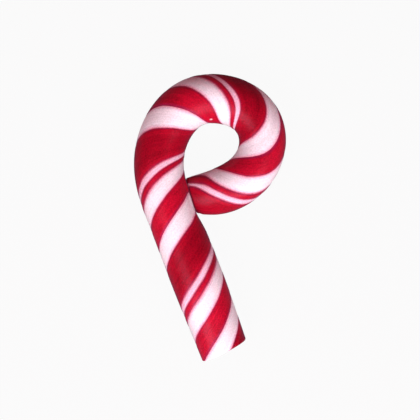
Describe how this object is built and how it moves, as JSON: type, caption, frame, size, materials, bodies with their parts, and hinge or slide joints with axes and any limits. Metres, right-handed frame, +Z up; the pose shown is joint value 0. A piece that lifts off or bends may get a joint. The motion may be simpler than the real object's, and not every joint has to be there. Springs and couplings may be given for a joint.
{
  "type": "candy cane",
  "caption": "Hand-rolled candy cane of pulled hard sugar, lying on its side, its hook curled right round until the end presses against the straight shaft.",
  "frame": {"origin": "centre of the bounding box at its underside, where the sweet rests on the table", "axes": "+Z up out of the side the cane lies on, +Y along the straight shaft from its cut foot towards the hook, +X the way the hook curls"},
  "size_m": [0.0542, 0.0902, 0.0171],
  "materials": {
    "sugar": "semi-gloss hard boiled sugar, red with twisted white stripes and faint pull lines"
  },
  "bodies": {
    "root": {"candy_cane": "sugar"}
  },
  "joints": []
}
